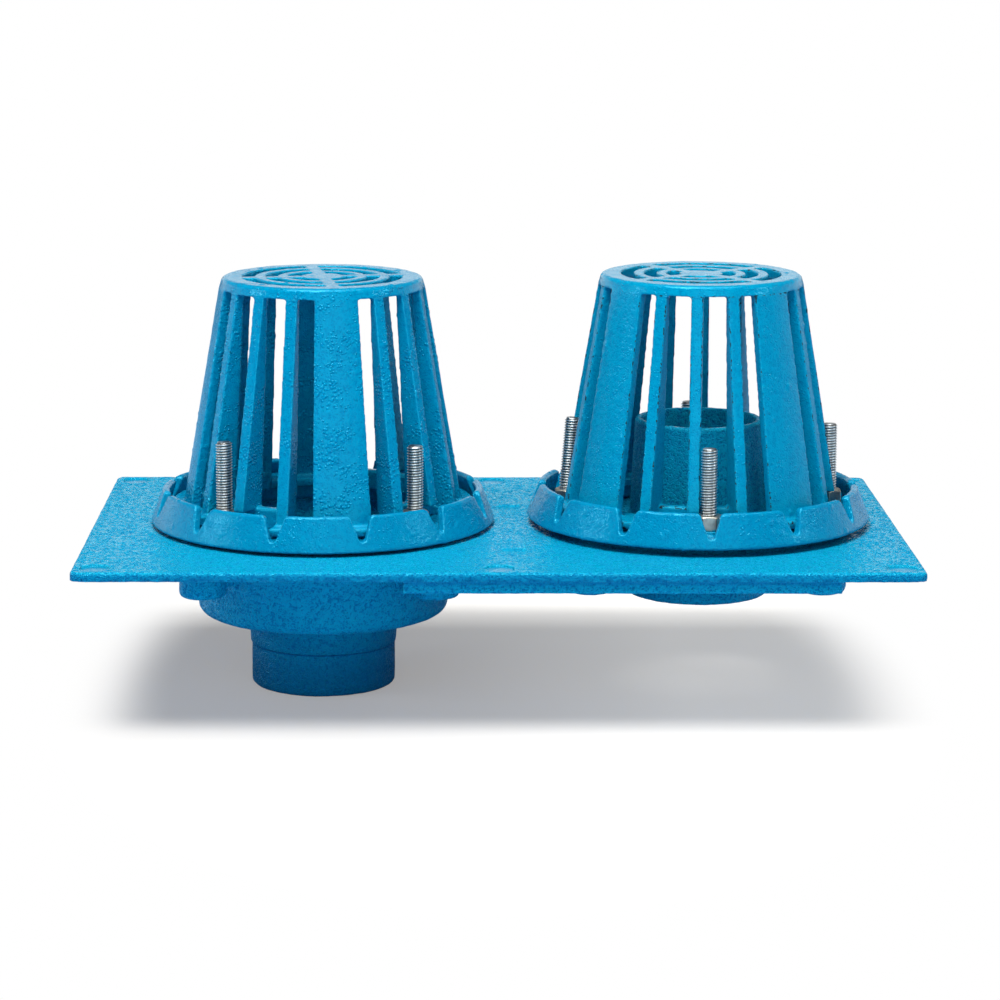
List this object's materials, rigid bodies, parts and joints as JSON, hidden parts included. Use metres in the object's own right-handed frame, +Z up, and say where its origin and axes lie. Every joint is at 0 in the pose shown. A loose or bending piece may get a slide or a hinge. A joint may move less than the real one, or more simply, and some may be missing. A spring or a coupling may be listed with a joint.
{
  "type": "roof drain",
  "caption": "Combined primary and overflow flat roof drain: cast iron deck plate with sump, overflow dam, clamp rings, slotted domes, studs and nuts.",
  "frame": {"origin": "centre of the shoulder on the primary outlet, where its coupling stops", "axes": "+Z up out of the drain, +X from the primary drain to the overflow drain, -Y the long side seen from the front"},
  "size_m": [0.475, 0.28, 0.2457],
  "materials": {
    "blue_epoxy_casting": "gloss",
    "zinc_steel": "satin"
  },
  "bodies": {
    "root": {"body": "blue_epoxy_casting", "clamp_ring_primary": "blue_epoxy_casting", "clamp_ring_overflow": "blue_epoxy_casting", "dome_primary": "blue_epoxy_casting", "dome_overflow": "blue_epoxy_casting", "stud_primary_1": "zinc_steel", "stud_primary_2": "zinc_steel", "stud_primary_3": "zinc_steel", "stud_primary_4": "zinc_steel", "stud_overflow_1": "zinc_steel", "stud_overflow_2": "zinc_steel", "stud_overflow_3": "zinc_steel", "stud_overflow_4": "zinc_steel", "nut_primary_1": "zinc_steel", "nut_primary_2": "zinc_steel", "nut_primary_3": "zinc_steel", "nut_primary_4": "zinc_steel", "nut_overflow_1": "zinc_steel", "nut_overflow_2": "zinc_steel", "nut_overflow_3": "zinc_steel", "nut_overflow_4": "zinc_steel"}
  },
  "joints": []
}
